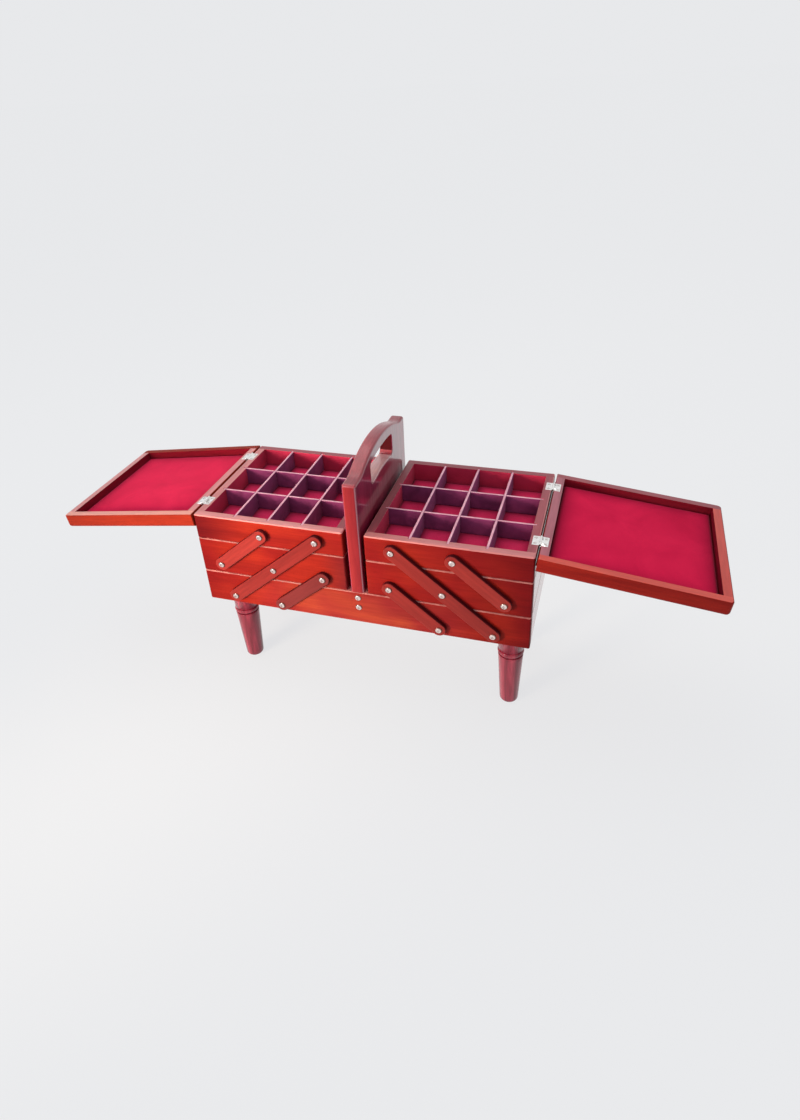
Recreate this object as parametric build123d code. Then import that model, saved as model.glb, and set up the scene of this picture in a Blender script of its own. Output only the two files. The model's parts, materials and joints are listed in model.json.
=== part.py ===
"""Wooden cantilever sewing carrier with two lids.

A long base box stands on four turned legs and carries an upright handle board across its middle.
On each side of the board a middle tray and a top tray are stacked on the base. Flat wooden arms on
the front and the back link them, so that the trays swing outwards and stay level. Each top tray has
a hinged lid on its outer edge. The part is drawn with the trays closed and with the lids folded
right back, a little past level.

Frame: X along the box, Y from front to back, Z up, with the origin on the floor under the middle.
The right-hand side is drawn, and the left-hand side is its mirror image.
"""

from build123d import *
import math
import os

# ---------------- driving dimensions, in millimetres and degrees ----------------
# boxes
box_length = 400.0
box_depth = 185.6
wall_thickness = 9.8
base_height = 44.1
middle_height = 47.0
top_height = 32.4
stack_gap = 0.3            # between a tray's underside and the rim that it closes on
tray_inner_x = 12.6        # from the middle plane to the inner end of a tray
corner_round = 2.0         # upright corners of the boxes
edge_round = 1.5           # outer long edges of the boxes

# floors and linings
floor_thickness = 3.0      # plywood floor of a tray
floor_lift = 6.0           # from the lower edges of a tray's walls to its floor
base_floor_thickness = 5.0
floor_housing = 4.5        # how far a floor is let into the walls
lining_thickness = 1.2
lining_clearance = 0.3     # round the edges of a lining

# dividers of a top tray
columns = 4
rows = 3
divider_thickness = 2.8
divider_drop = 0.4         # top of a divider below the rim
housing_depth = 3.5        # how far a divider's end is let into a wall
divider_clearance = 0.15   # each side of a divider, in its grooves and slots

# handle board
board_thickness = 16.4
shoulder_height = 62.4     # above the rim of the top trays
crown_height = 79.0        # above the rim of the top trays
shoulder_flat = 13.0       # level stretch at each shoulder
shoulder_sweep = 38.0      # radius of the hollow beside a shoulder
shoulder_corner = 4.0      # corner of a shoulder, seen from the side
board_round = 3.0          # long edges of the board above the base
slot_length = 80.0         # hand slot
slot_height = 26.5
slot_bottom = 35.0         # ends of the slot's lower edge above the rim of the top trays
slot_rise = 3.0            # how much higher the slot is in its middle
slot_corner = 5.0
slot_round = 1.5

# legs
leg_length = 117.3
leg_inset_x = 25.3         # leg's centre from the end of the box
leg_inset_y = 37.3         # leg's centre from the front or the back of the box
foot_radius = 11.1
foot_round = 5.5
leg_shoulder_radius = 15.1
leg_shoulder_round = 0.7
collar_radius = 15.2
collar_height = 32.5
bead_radius = 15.8
bead_height = 6.1
neck_radius = 13.2         # in the grooves above and below the bead
upper_groove = 1.4
lower_groove = 1.6
tenon_radius = 7.0
tenon_clearance = 0.05

# arms and pivots
arm_run = 57.2             # sideways distance between two neighbouring pivots of an arm
arm_width = 16.5
arm_thickness = 5.5
arm_round = 1.0
arm_wall_gap = 0.4
pivot_height = 17.8        # long arm's pivots above the underside of a middle or top tray
long_arm_x = 102.1         # long arm's middle pivot, from the middle plane
upper_arm_offset = 68.6    # upper short arm outside the long arm
upper_arm_drop = 2.0       # and its pivots below those of the long arm
lower_arm_offset = 61.8    # lower short arm inside the long arm
lower_arm_drop = 3.1
screw_radius = 1.9
head_radius = 3.9
head_height = 2.3
head_edge = 0.5            # straight edge of a head
recess_length = 3.4        # cross recess of a head
recess_width = 0.7
recess_depth = 0.9
screw_cover = 2.0          # wood left past the end of a pivot screw
screw_point = 1.2          # taper at the end of a screw
arm_bore_clearance = 0.1   # arm's hole over the screw
head_clearance = 0.2       # under the head of a pivot screw
bite_clearance = 0.01      # screw's hole in the wood that it holds
board_screw_length = 32.0
board_screw_drop = 8.0     # upper screw of the handle board below the rim of the base
board_screw_pitch = 14.0

# lids and hinges
lid_thickness = 17.2
rail_width = 9.9
lid_panel_thickness = 5.0
lid_rebate = 4.5           # how far the panel reaches under the rails
lid_end_overhang = 3.8     # past the inner end of the tray, when closed
lid_side_overhang = 1.3    # past the front and the back of the tray
lid_corner = 4.5
lid_edge_round = 4.0       # outer edges of the lid's face
lid_gap = 0.3              # between a closed lid and its tray
right_lid_droop = 6.7      # how far an open lid falls past level
left_lid_droop = 8.0
hinge_offset = 1.4         # from the wall to the hinge pin
hinge_length = 17.5
hinge_reach = 8.6          # edge of a leaf from the pin
hinge_y = 59.5
leaf_thickness = 1.0
barrel_radius = 1.1
hinge_pin_radius = 0.55
pin_clearance = 0.05
knuckle_gap = 0.15
mortise_clearance = 0.1

# ---------------- levels and places worked out from them ----------------
half_length = box_length / 2
half_depth = box_depth / 2
inner_depth = half_depth - wall_thickness
base_bottom = leg_length
base_rim = base_bottom + base_height
middle_bottom = base_rim + stack_gap
middle_rim = middle_bottom + middle_height
top_bottom = middle_rim + stack_gap
rim = top_bottom + top_height
tray_x = (tray_inner_x, half_length)
arm_rise = middle_height + stack_gap
middle_pivot_z = middle_bottom + pivot_height
pivot_levels = {
    "base": middle_pivot_z - arm_rise,
    "middle": middle_pivot_z,
    "top": middle_pivot_z + arm_rise,
}
board_screw_levels = (base_rim - board_screw_drop, base_rim - board_screw_drop - board_screw_pitch)
hinge_x = half_length + hinge_offset
hinge_z = rim + lid_gap / 2


# ---------------- helpers ----------------
def block(x, y, z):
    """A box between two corners: x, y and z are (low, high) pairs."""
    centre = ((x[0] + x[1]) / 2, (y[0] + y[1]) / 2, (z[0] + z[1]) / 2)
    return Pos(*centre) * Box(x[1] - x[0], y[1] - y[0], z[1] - z[0])


def around(half):
    """The stretch from -half to half."""
    return (-half, half)


def case_block(x, y, z, corner, upper, lower, square_x=None):
    """Block with rounded upright corners, upper and lower edges. The end at square_x stays square."""
    def rounds(edge):
        return square_x is None or abs(edge.center().X - square_x) > 0.001

    solid = block(x, y, z)
    solid = fillet([e for e in solid.edges().filter_by(Axis.Z) if rounds(e)], corner)
    solid = fillet(solid.faces().sort_by(Axis.Z)[-1].edges(), upper)
    return fillet([e for e in solid.faces().sort_by(Axis.Z)[0].edges() if rounds(e)], lower)


def facing_front(shape, x, z, y):
    """Turns a shape made round +Z so that its top faces the front, and puts it at (x, y, z)."""
    return Pos(x, y, z) * Rot(90, 0, 0) * shape


def along_y(radius, length, y):
    """Cylinder along the hinge pin, centred at y."""
    return Pos(hinge_x, y, hinge_z) * Rot(90, 0, 0) * Cylinder(radius, length)


def to_left(shape):
    return mirror(shape, about=Plane.YZ)


def to_back(shape):
    return mirror(shape, about=Plane.XZ)


def front_and_back(*shapes):
    """The shapes at the front, and the same at the back."""
    return list(shapes) + [to_back(s) for s in shapes]


def save(node, *solids):
    """Writes one node, as one solid or as a group of separate ones."""
    shape = solids[0] if len(solids) == 1 else Compound(children=list(solids))
    export_step(shape, f"parts/{node}.step")


def save_both_sides(node, *solids):
    """Writes the right-hand node and its mirror image on the left."""
    save(f"right_{node}", *solids)
    save(f"left_{node}", *[to_left(s) for s in solids])


# ---------------- boxes: walls, floors and linings ----------------
def split_case(case, x, y, z, wall, housing, thickness, lift=0):
    """Cuts a case block into a front wall, two end walls, and a floor let into them."""
    inner = y - wall
    margin = wall - housing
    low = z[0] + lift
    floor = block((x[0] + margin, x[1] - margin), around(y - margin), (low, low + thickness))
    front = (case & block(x, (-y, -inner), z)) - floor
    low_end = (case & block((x[0], x[0] + wall), around(inner), z)) - floor
    high_end = (case & block((x[1] - wall, x[1]), around(inner), z)) - floor
    return front, low_end, high_end, floor


def box_boards(x, z, thickness, lift=0):
    """Front wall, end walls and floor of a box that spans x and z."""
    case = case_block(x, around(half_depth), z, corner_round, edge_round, edge_round)
    return split_case(case, x, half_depth, z, wall_thickness, floor_housing, thickness, lift)


def lining_sheet(x, y, floor_top):
    """Thin lining on a floor, inside walls whose faces are at x and at -y and y."""
    span = (x[0] + lining_clearance, x[1] - lining_clearance)
    return block(span, around(y - lining_clearance), (floor_top, floor_top + lining_thickness))


def inside(x):
    """Stretch between the end walls of a box that spans x."""
    return (x[0] + wall_thickness, x[1] - wall_thickness)


# ---------------- screws, pivots and arms ----------------
def screw(length):
    """Round head screw along Z, with the underside of its head at the origin."""
    with BuildPart() as made:
        with BuildSketch(Plane.XZ):
            with BuildLine():
                Polyline(
                    (0, head_height),
                    (0, -length),
                    (screw_radius / 3, -length),
                    (screw_radius, screw_point - length),
                    (screw_radius, 0),
                    (head_radius, 0),
                    (head_radius, head_edge),
                )
                TangentArc((0, head_height), (head_radius, head_edge), tangent=(1, 0))
            make_face()
        revolve(axis=Axis.Z)
        with Locations((0, 0, head_height)):
            Box(recess_length, recess_width, 2 * recess_depth, mode=Mode.SUBTRACT)
            Box(recess_width, recess_length, 2 * recess_depth, mode=Mode.SUBTRACT)
    return made.part


def pivot_screw(x, z):
    """Screw that holds an arm to a front wall and lets it turn."""
    stack = arm_wall_gap + arm_thickness + head_clearance
    return facing_front(screw(stack + wall_thickness - screw_cover), x, z, -half_depth - stack)


def drilled(wall, pivots):
    """A front wall with the blind holes of its pivot screws."""
    deepest = wall_thickness - screw_cover
    drill = Cylinder(screw_radius + bite_clearance, 2 * deepest)
    for x, z in pivots:
        wall -= facing_front(drill, x, z, -half_depth)
    return wall


def arm_pivots():
    """Pivots (x, z) of each right-hand front arm, by the box that each pivot is on."""
    long_x = long_arm_x + arm_run
    lowest = {
        "long_arm": (long_x, 0, ("base", "middle", "top")),
        "upper_arm": (long_arm_x + upper_arm_offset, upper_arm_drop, ("middle", "top")),
        "lower_arm": (long_x - lower_arm_offset, lower_arm_drop, ("base", "middle")),
    }
    return {
        name: {box: (x - i * arm_run, pivot_levels[box] - drop) for i, box in enumerate(boxes)}
        for name, (x, drop, boxes) in lowest.items()
    }


def pivots_on(box):
    """All right-hand front pivots on one box."""
    return [pivots[box] for pivots in arm_pivots().values() if box in pivots]


def arm(pivots):
    """Flat arm with round ends over its first and last pivots, and a hole at each."""
    (x0, z0), (x1, z1) = pivots[0], pivots[-1]
    reach = math.hypot(x1 - x0, z1 - z0)
    slope = math.degrees(math.atan2(z1 - z0, x1 - x0))
    blank = extrude(SlotCenterToCenter(reach, arm_width), arm_thickness)
    blank = fillet(blank.faces().sort_by(Axis.Z)[-1].edges(), arm_round)
    blank = facing_front(
        Rot(0, 0, slope) * blank, (x0 + x1) / 2, (z0 + z1) / 2, -half_depth - arm_wall_gap
    )
    for x, z in pivots:
        bore = Cylinder(screw_radius + arm_bore_clearance, 4 * arm_thickness)
        blank -= facing_front(bore, x, z, -half_depth)
    return blank


def make_arms():
    for name, pivots in arm_pivots().items():
        front = arm(list(pivots.values()))
        save_both_sides(f"front_{name}", front)
        save_both_sides(f"back_{name}", to_back(front))


# ---------------- base and legs ----------------
def leg_places():
    x, y = half_length - leg_inset_x, half_depth - leg_inset_y
    return {
        "front_left": (-x, -y),
        "front_right": (x, -y),
        "back_left": (-x, y),
        "back_right": (x, y),
    }


def make_base():
    x, z = around(half_length), (base_bottom, base_rim)
    front, left_end, right_end, floor = box_boards(x, z, base_floor_thickness)
    pivots = [(s * px, pz) for px, pz in pivots_on("base") for s in (1, -1)]
    front = drilled(front, pivots)
    for level in board_screw_levels:
        hole = Cylinder(screw_radius + bite_clearance, 4 * wall_thickness)
        front -= facing_front(hole, 0, level, -half_depth)
    for place in leg_places().values():
        socket = Cylinder(tenon_radius + tenon_clearance, 4 * base_floor_thickness)
        floor -= Pos(*place, base_bottom) * socket
    bay = lining_sheet(
        (board_thickness / 2, half_length - wall_thickness),
        inner_depth,
        base_bottom + base_floor_thickness,
    )
    save("base_side_walls", *front_and_back(front))
    save("base_end_walls", left_end, right_end)
    save("base_floor", floor)
    save("base_lining", bay, to_left(bay))
    save("base_pivot_screws", *front_and_back(*[pivot_screw(*p) for p in pivots]))


def leg_outline():
    """Half section of a leg on its floor, with a tapered shaft, a bead and a collar below its tenon."""
    bead_top = leg_length - collar_height - upper_groove
    bead_foot = bead_top - bead_height
    shoulder = bead_foot - lower_groove
    with BuildLine() as line:
        Polyline((0, 0), (foot_radius, 0), (leg_shoulder_radius, shoulder))
        Polyline((leg_shoulder_radius, shoulder), (neck_radius, shoulder), (neck_radius, bead_foot))
        ThreePointArc(
            (neck_radius, bead_foot), (bead_radius, (bead_foot + bead_top) / 2), (neck_radius, bead_top)
        )
        Polyline(
            (neck_radius, bead_top),
            (neck_radius, bead_top + upper_groove),
            (collar_radius, bead_top + upper_groove),
            (collar_radius, leg_length),
            (tenon_radius, leg_length),
            (tenon_radius, leg_length + base_floor_thickness),
            (0, leg_length + base_floor_thickness),
            (0, 0),
        )
    return line.line, shoulder


def make_legs():
    outline, shoulder = leg_outline()
    leg = revolve(Plane.XZ * make_face(outline), Axis.Z)
    circles = leg.edges().filter_by(GeomType.CIRCLE)
    leg = fillet(circles.sort_by(Axis.Z)[:1], foot_round)
    wide = [e for e in leg.edges().filter_by(GeomType.CIRCLE) if e.radius > neck_radius + 0.001]
    leg = fillet([e for e in wide if abs(e.center().Z - shoulder) < 0.001], leg_shoulder_round)
    for name, place in leg_places().items():
        save(f"{name}_leg", Pos(*place, 0) * leg)


# ---------------- handle board ----------------
def board_outline():
    """Outline of the handle board in (y, z): a tongue, square shoulders and an arched crown."""
    foot = base_bottom + base_floor_thickness
    shoulder = rim + shoulder_height
    crown = rim + crown_height
    start = half_depth - shoulder_flat
    rise = crown - shoulder
    share = 1 - shoulder_sweep * 2 * rise / (start**2 + rise**2)
    turn = (start * share, crown - rise * share)
    with BuildSketch() as sketch:
        with BuildLine():
            TangentArc((start, shoulder), turn, tangent=(-1, 0))
            ThreePointArc(turn, (0, crown), (-turn[0], turn[1]))
            TangentArc((-start, shoulder), (-turn[0], turn[1]), tangent=(1, 0))
            Polyline(
                (-start, shoulder),
                (-half_depth, shoulder),
                (-half_depth, base_rim),
                (-inner_depth, base_rim),
                (-inner_depth, foot),
                (inner_depth, foot),
                (inner_depth, base_rim),
                (half_depth, base_rim),
                (half_depth, shoulder),
                (start, shoulder),
            )
        make_face()
        fillet([v for v in sketch.vertices() if abs(v.X) > start + 1 and v.Y > rim], shoulder_corner)
    return sketch.sketch


def slot_outline():
    """Hand slot in (y, z), with its two long edges arched alike."""
    half = slot_length / 2
    low = rim + slot_bottom
    high = low + slot_height
    with BuildSketch() as sketch:
        with BuildLine():
            ThreePointArc((-half, low), (0, low + slot_rise), (half, low))
            Line((half, low), (half, high))
            ThreePointArc((half, high), (0, high + slot_rise), (-half, high))
            Line((-half, high), (-half, low))
        make_face()
        fillet(sketch.vertices(), slot_corner)
    return sketch.sketch


def make_board():
    upright = Plane(origin=(-board_thickness / 2, 0, 0), x_dir=(0, 1, 0), z_dir=(1, 0, 0))
    board = extrude(upright * board_outline(), board_thickness)
    faces = [board.faces().sort_by(Axis.X)[i] for i in (0, -1)]
    board = fillet([e for f in faces for e in f.edges() if e.center().Z > base_rim + 1], board_round)
    board -= extrude(upright * slot_outline(), board_thickness)
    faces = [board.faces().sort_by(Axis.X)[i] for i in (0, -1)]
    board = fillet([e for f in faces for w in f.inner_wires() for e in w.edges()], slot_round)
    depth = board_screw_length - wall_thickness
    for level in board_screw_levels:
        hole = Cylinder(screw_radius + bite_clearance, 2 * depth)
        hole = facing_front(hole, 0, level, -inner_depth)
        board = board - hole - to_back(hole)
    screws = [facing_front(screw(board_screw_length), 0, z, -half_depth) for z in board_screw_levels]
    save("handle_board", board)
    save("handle_board_screws", *front_and_back(*screws))


# ---------------- middle and top trays ----------------
def make_middle_tray():
    front, inner_end, outer_end, floor = box_boards(
        tray_x, (middle_bottom, middle_rim), floor_thickness, floor_lift
    )
    pivots = pivots_on("middle")
    save_both_sides("middle_tray_side_walls", *front_and_back(drilled(front, pivots)))
    save_both_sides("middle_tray_end_walls", inner_end, outer_end)
    save_both_sides("middle_tray_floor", floor)
    lining = lining_sheet(inside(tray_x), inner_depth, middle_bottom + floor_lift + floor_thickness)
    save_both_sides("middle_tray_lining", lining)
    save_both_sides("middle_tray_pivot_screws", *front_and_back(*[pivot_screw(*p) for p in pivots]))


def divider_places():
    """Centres of the cross dividers along X, and of the long dividers along Y."""
    x0, x1 = inside(tray_x)
    cell_x = (x1 - x0 - (columns - 1) * divider_thickness) / columns
    cell_y = (2 * inner_depth - (rows - 1) * divider_thickness) / rows
    step_x, step_y = cell_x + divider_thickness, cell_y + divider_thickness
    xs = [x0 + i * step_x - divider_thickness / 2 for i in range(1, columns)]
    ys = [-inner_depth + i * step_y - divider_thickness / 2 for i in range(1, rows)]
    return xs, ys


divider_foot = top_bottom + floor_lift + floor_thickness + lining_thickness
divider_head = rim - divider_drop


def strip_across(x, half, z, reach):
    """Piece that runs from front to back at x."""
    return block((x - half, x + half), around(inner_depth + reach), z)


def strip_along(y, half, z, reach):
    """Piece that runs along the tray at y."""
    x0, x1 = inside(tray_x)
    return block((x0 - reach, x1 + reach), (y - half, y + half), z)


def divider_housings():
    """Upright grooves for the ends of all the dividers, open at the rim."""
    xs, ys = divider_places()
    half = divider_thickness / 2 + divider_clearance
    reach = housing_depth + divider_clearance
    z = (divider_foot, rim + 1)
    return [strip_across(x, half, z, reach) for x in xs] + [strip_along(y, half, z, reach) for y in ys]


def long_dividers():
    """Dividers along the tray, with slots from above for the cross dividers."""
    xs, ys = divider_places()
    half = divider_thickness / 2
    middle = (divider_foot + divider_head) / 2
    slots = [
        strip_across(x, half + divider_clearance, (middle, divider_head + 1), 0) for x in xs
    ]
    strips = [strip_along(y, half, (divider_foot, divider_head), housing_depth) for y in ys]
    return [strip.cut(*slots) for strip in strips]


def cross_dividers():
    """Dividers from front to back, with slots from below for the long dividers."""
    xs, ys = divider_places()
    half = divider_thickness / 2
    middle = (divider_foot + divider_head) / 2
    slots = [strip_along(y, half + divider_clearance, (divider_foot - 1, middle), 0) for y in ys]
    strips = [strip_across(x, half, (divider_foot, divider_head), housing_depth) for x in xs]
    return [strip.cut(*slots) for strip in strips]


def make_top_tray():
    front, inner_end, outer_end, floor = box_boards(
        tray_x, (top_bottom, rim), floor_thickness, floor_lift
    )
    pivots = pivots_on("top")
    grooves = divider_housings()
    front = drilled(front, pivots).cut(*grooves)
    inner_end = inner_end.cut(*grooves)
    outer_end = outer_end.cut(*grooves, *hinge_mortises())
    save_both_sides("top_tray_side_walls", *front_and_back(front))
    save_both_sides("top_tray_end_walls", inner_end, outer_end)
    save_both_sides("top_tray_floor", floor)
    lining = lining_sheet(inside(tray_x), inner_depth, top_bottom + floor_lift + floor_thickness)
    save_both_sides("top_tray_lining", lining)
    save_both_sides("top_tray_long_dividers", *long_dividers())
    save_both_sides("top_tray_cross_dividers", *cross_dividers())
    save_both_sides("top_tray_pivot_screws", *front_and_back(*[pivot_screw(*p) for p in pivots]))


# ---------------- hinges and lids ----------------
def save_open(node, *solids):
    """Writes pieces of the level right-hand lid, and their mirror image, where the open lids rest."""
    pin = Axis((hinge_x, 0, hinge_z), (0, 1, 0))
    save(f"right_{node}", *[s.rotate(pin, right_lid_droop) for s in solids])
    save(f"left_{node}", *[to_left(s.rotate(pin, left_lid_droop)) for s in solids])


def hinge_mortises():
    """Pockets for the leaves and barrels of both hinges, alike on either side of the pin."""
    reach = hinge_reach + mortise_clearance
    half = hinge_length / 2 + mortise_clearance
    pockets = []
    for y in (-hinge_y, hinge_y):
        span = (hinge_x - reach, hinge_x + reach)
        pockets.append(block(span, (y - half, y + half), (rim - leaf_thickness, rim + 1)))
        pockets.append(along_y(barrel_radius + mortise_clearance, 2 * half, y))
    return pockets


def hinge_leaf(y, direction, knuckles):
    """Leaf level with the rim on one side of the pin, with knuckles given as (low, high) along Y."""
    span = sorted((hinge_x + direction * hinge_reach, hinge_x))
    level = (rim - leaf_thickness, rim)
    plate = block(span, (y - hinge_length / 2, y + hinge_length / 2), level)
    plate -= along_y(barrel_radius + knuckle_gap, 2 * hinge_length, y)
    for low, high in knuckles:
        plate += block(span, (y + low, y + high), level)
        plate += along_y(barrel_radius, high - low, y + (low + high) / 2)
    return plate - along_y(hinge_pin_radius + pin_clearance, 2 * hinge_length, y)


def make_hinges():
    half, sixth = hinge_length / 2, hinge_length / 6
    outer = [(-half, -sixth - knuckle_gap), (sixth + knuckle_gap, half)]
    places = (-hinge_y, hinge_y)
    save_both_sides("hinge_tray_leaves", *[hinge_leaf(y, -1, outer) for y in places])
    save_open("hinge_lid_leaves", *[hinge_leaf(y, 1, [(-sixth, sixth)]) for y in places])
    save_both_sides("hinge_pins", *[along_y(hinge_pin_radius, hinge_length, y) for y in places])


def make_lid():
    first = hinge_x + hinge_offset
    x = (first, first + half_length - tray_inner_x + lid_end_overhang)
    y = half_depth + lid_side_overhang
    z = (rim - lid_thickness, rim)
    case = case_block(x, around(y), z, lid_corner, edge_round, lid_edge_round, square_x=first)
    front, hinge_rail, free_rail, panel = split_case(
        case, x, y, z, rail_width, lid_rebate, lid_panel_thickness
    )
    hinge_rail = hinge_rail.cut(*hinge_mortises())
    lining = lining_sheet(
        (x[0] + rail_width, x[1] - rail_width), y - rail_width, z[0] + lid_panel_thickness
    )
    save_open("lid_rails", *front_and_back(front), hinge_rail, free_rail)
    save_open("lid_panel", panel)
    save_open("lid_lining", lining)


os.makedirs("parts", exist_ok=True)
make_base()
make_legs()
make_board()
make_middle_tray()
make_top_tray()
make_arms()
make_hinges()
make_lid()
print("fold range, degrees:", round(2 * math.degrees(math.atan2(arm_run, arm_rise)), 3))
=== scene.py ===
import json
import math
import bpy
from mathutils import Matrix, Vector, noise


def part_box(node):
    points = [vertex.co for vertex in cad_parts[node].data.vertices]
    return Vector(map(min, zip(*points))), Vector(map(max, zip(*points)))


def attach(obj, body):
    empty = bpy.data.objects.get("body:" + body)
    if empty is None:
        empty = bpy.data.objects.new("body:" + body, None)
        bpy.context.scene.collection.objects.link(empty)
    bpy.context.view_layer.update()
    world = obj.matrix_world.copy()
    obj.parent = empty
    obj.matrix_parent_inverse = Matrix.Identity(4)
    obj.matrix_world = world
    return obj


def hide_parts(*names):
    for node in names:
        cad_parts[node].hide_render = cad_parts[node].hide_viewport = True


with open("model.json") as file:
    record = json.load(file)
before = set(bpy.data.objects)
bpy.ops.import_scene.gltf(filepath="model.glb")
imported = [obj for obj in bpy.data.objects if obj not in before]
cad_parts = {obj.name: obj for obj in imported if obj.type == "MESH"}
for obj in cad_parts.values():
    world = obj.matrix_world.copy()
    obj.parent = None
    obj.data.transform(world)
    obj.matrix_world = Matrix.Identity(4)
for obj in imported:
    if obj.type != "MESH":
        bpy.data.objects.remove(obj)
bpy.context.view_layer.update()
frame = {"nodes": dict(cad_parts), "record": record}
cadNodes = frame["nodes"]
record = frame["record"]
bodyOf = {node: body for body, listed in record["behaviour"]["bodies"].items() for node in listed}
turns = {joint["name"]: joint["range_deg"][1] for joint in record["behaviour"]["joints"]}
sides = {"right": 1, "left": -1}      # and the way each faces along X
droop = {side: turns[f"{side}_lid_hinge"] - 180 for side in sides}      # degrees, open lids below level
bpy.ops.object.select_all(action="DESELECT")

camera = {
    "place": (0.2592, -0.7195, 0.6813),   # metres, in front of the carrier and above it
    "turn": (58.747, 3.100, 17.404),      # degrees
    "lens": 23.496,
    "sensor": 36.0,
    "shift": (0.0136, -0.0450),
    "nearClip": 0.01,
}


def placeCamera():
    data = bpy.data.cameras.new("studioCamera")
    data.sensor_width = camera["sensor"]
    data.lens = camera["lens"]
    data.shift_x, data.shift_y = camera["shift"]
    data.clip_start = camera["nearClip"]
    holder = bpy.data.objects.new("studioCamera", data)
    bpy.context.scene.collection.objects.link(holder)
    holder.location = camera["place"]
    holder.rotation_euler = [math.radians(angle) for angle in camera["turn"]]
    bpy.context.scene.camera = holder


studio = {
    "roomColour": (0.97, 0.98, 1.0),
    "roomStrength": 0.83,
    "floorColour": (0.13, 0.13, 0.13),
    "floorGlow": 0.72,                # keeps the floor as pale as the room behind it
    "floorRoughness": 0.9,
    "floorSize": 60.0,
    "lamps": {                        # watts, and the spread in degrees
        "keyLamp": {"place": (-0.55, -0.80, 0.30), "aim": (-0.12, -0.09, 0.20), "size": 0.35,
                    "power": 2.0, "colour": (1.0, 0.84, 0.62), "spread": 50.0, "glossy": False},
        "sparkLamp": {"place": (-0.60, -0.85, 0.75), "aim": (0.0, 0.0, 0.20), "size": 0.22,
                      "power": 2.2, "colour": (1.0, 0.95, 0.90), "spread": 180.0, "diffuse": False},
        "topLamp": {"place": (-0.5, 0.3, 1.6), "aim": (0.0, 0.0, 0.20), "size": 1.2,
                    "power": 6.0, "colour": (1.0, 0.97, 0.95), "spread": 180.0},
    },
}


def addLamp(name, lamp):
    data = bpy.data.lights.new(name, "AREA")
    data.shape = "SQUARE"
    data.size = lamp["size"]
    data.energy = lamp["power"]
    data.color = lamp["colour"]
    data.spread = math.radians(lamp["spread"])
    holder = bpy.data.objects.new(name, data)
    bpy.context.scene.collection.objects.link(holder)
    holder.location = lamp["place"]
    holder.visible_camera = False
    holder.visible_glossy = lamp.get("glossy", True)      # one lamp lights, another makes the highlights
    holder.visible_diffuse = lamp.get("diffuse", True)
    away = Vector(lamp["aim"]) - Vector(lamp["place"])
    holder.rotation_euler = away.to_track_quat("-Z", "Y").to_euler()


def buildStudio():
    world = bpy.data.worlds.new("paleRoom")
    bpy.context.scene.world = world
    world.use_nodes = True
    sky = world.node_tree.nodes["Background"]
    sky.inputs["Color"].default_value = (*studio["roomColour"], 1)
    sky.inputs["Strength"].default_value = studio["roomStrength"]
    bpy.ops.mesh.primitive_plane_add(size=studio["floorSize"], location=(0, 0, 0))
    floor = bpy.context.object
    floor.name = "paleFloor"
    paint = bpy.data.materials.new("paleFloor")
    paint.use_nodes = True
    shader = paint.node_tree.nodes["Principled BSDF"]
    shader.inputs["Base Color"].default_value = (*studio["floorColour"], 1)
    shader.inputs["Roughness"].default_value = studio["floorRoughness"]
    shader.inputs["Specular IOR Level"].default_value = 0.0
    shader.inputs["Emission Color"].default_value = (*studio["roomColour"], 1)
    shader.inputs["Emission Strength"].default_value = studio["floorGlow"]
    floor.data.materials.append(paint)
    for name, lamp in studio["lamps"].items():
        addLamp(name, lamp)
    bpy.context.scene.view_settings.view_transform = "Standard"


placeCamera()
buildStudio()
print("camera and studio ready")

white = (1.0, 1.0, 1.0)
black = (0.0, 0.0, 0.0)


def grey(value):
    return (value, value, value)


def startMaterial(name):
    material = bpy.data.materials.new(name)
    material.use_nodes = True
    return material, material.node_tree, material.node_tree.nodes["Principled BSDF"]


def addNode(tree, kind, **inputs):
    node = tree.nodes.new(kind)
    for socket, value in inputs.items():
        node.inputs[socket].default_value = value
    return node


def objectCoords(tree):
    return tree.nodes.new("ShaderNodeTexCoord").outputs["Object"]


def turnedCoords(tree, turn, stretch):
    mapping = tree.nodes.new("ShaderNodeMapping")
    mapping.vector_type = "TEXTURE"   # turned first, then stretched along the grain
    mapping.inputs["Rotation"].default_value = [math.radians(angle) for angle in turn]
    mapping.inputs["Scale"].default_value = (stretch, 1, 1)
    tree.links.new(objectCoords(tree), mapping.inputs["Vector"])
    return mapping.outputs["Vector"]


def addNoise(tree, vector, scale, detail=3.0, roughness=0.5, distortion=0.0):
    node = addNode(tree, "ShaderNodeTexNoise", Scale=scale, Detail=detail, Roughness=roughness,
                   Distortion=distortion)
    tree.links.new(vector, node.inputs["Vector"])
    return node.outputs["Fac"]


def addRamp(tree, factor, *stops):
    node = tree.nodes.new("ShaderNodeValToRGB")
    points = node.color_ramp.elements
    while len(points) < len(stops):
        points.new(0.5)
    for point, (place, colour) in zip(points, stops):
        point.position = place
        point.color = (*colour, 1)
    tree.links.new(factor, node.inputs["Fac"])
    return node.outputs["Color"]


def mixColours(tree, mode, amount, first, second):
    node = tree.nodes.new("ShaderNodeMix")
    node.data_type = "RGBA"
    node.blend_type = mode
    sockets = [node.inputs[0]] + [socket for socket in node.inputs if socket.type == "RGBA"]
    for socket, value in zip(sockets, (amount, first, second)):
        if isinstance(value, bpy.types.NodeSocket):
            tree.links.new(value, socket)
        else:
            socket.default_value = value if isinstance(value, float) else (*value, 1)
    return [socket for socket in node.outputs if socket.type == "RGBA"][0]


def multiply(tree, colour, tone, amount=1.0):
    return mixColours(tree, "MULTIPLY", amount, colour, tone)


def addBump(tree, height, strength, distance, socket):
    node = addNode(tree, "ShaderNodeBump", Strength=strength, Distance=distance)
    tree.links.new(height, node.inputs["Height"])
    tree.links.new(node.outputs["Normal"], socket)


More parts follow.
